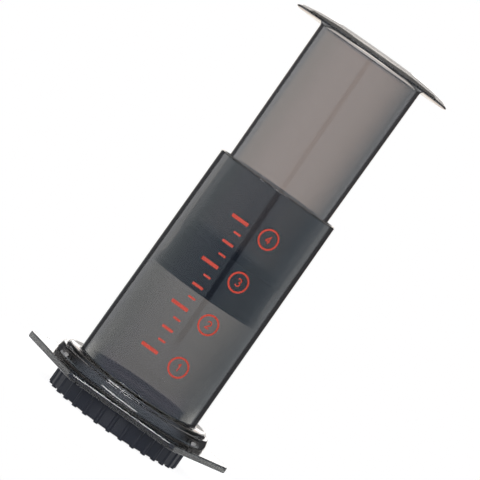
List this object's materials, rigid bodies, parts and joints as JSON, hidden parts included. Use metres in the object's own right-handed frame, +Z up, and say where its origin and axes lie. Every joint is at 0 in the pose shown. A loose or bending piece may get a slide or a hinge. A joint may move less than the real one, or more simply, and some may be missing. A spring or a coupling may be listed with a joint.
{
  "type": "manual coffee press",
  "caption": "Hand-operated coffee press: a translucent plunger with a rubber seal slides in a brewing chamber with a hexagonal mug flange and a twist-off perforated filter cap",
  "frame": {"origin": "centre of the filter cap's underside, on the press's long axis", "axes": "+Z runs up the press from the filter cap to the hand flange; the hexagonal flange has corners on +X and -X; the printed scale faces -Y"},
  "size_m": [0.1104, 0.097, 0.2113],
  "materials": {
    "chamber": "smoky translucent, glossy",
    "plunger": "smoky translucent, glossy",
    "seal": "matt",
    "cap": "satin",
    "paper": "creped"
  },
  "bodies": {
    "chamber": {"chamber": "chamber"},
    "plunger": {"plunger": "plunger", "plunger_seal": "seal"},
    "filter_cap": {"filter_cap": "cap", "paper_filter": "paper"}
  },
  "joints": [
    {"name": "plunger_slide", "type": "slide", "parent": "chamber", "child": "plunger", "axis": [0, 0, 1], "range_m": [-0.0695, 0.096]},
    {"name": "cap_twist", "type": "hinge", "parent": "chamber", "child": "filter_cap", "pos_m": [0, 0, 0.009], "axis": [0, 0, 1], "range_deg": [-30, 0]}
  ]
}
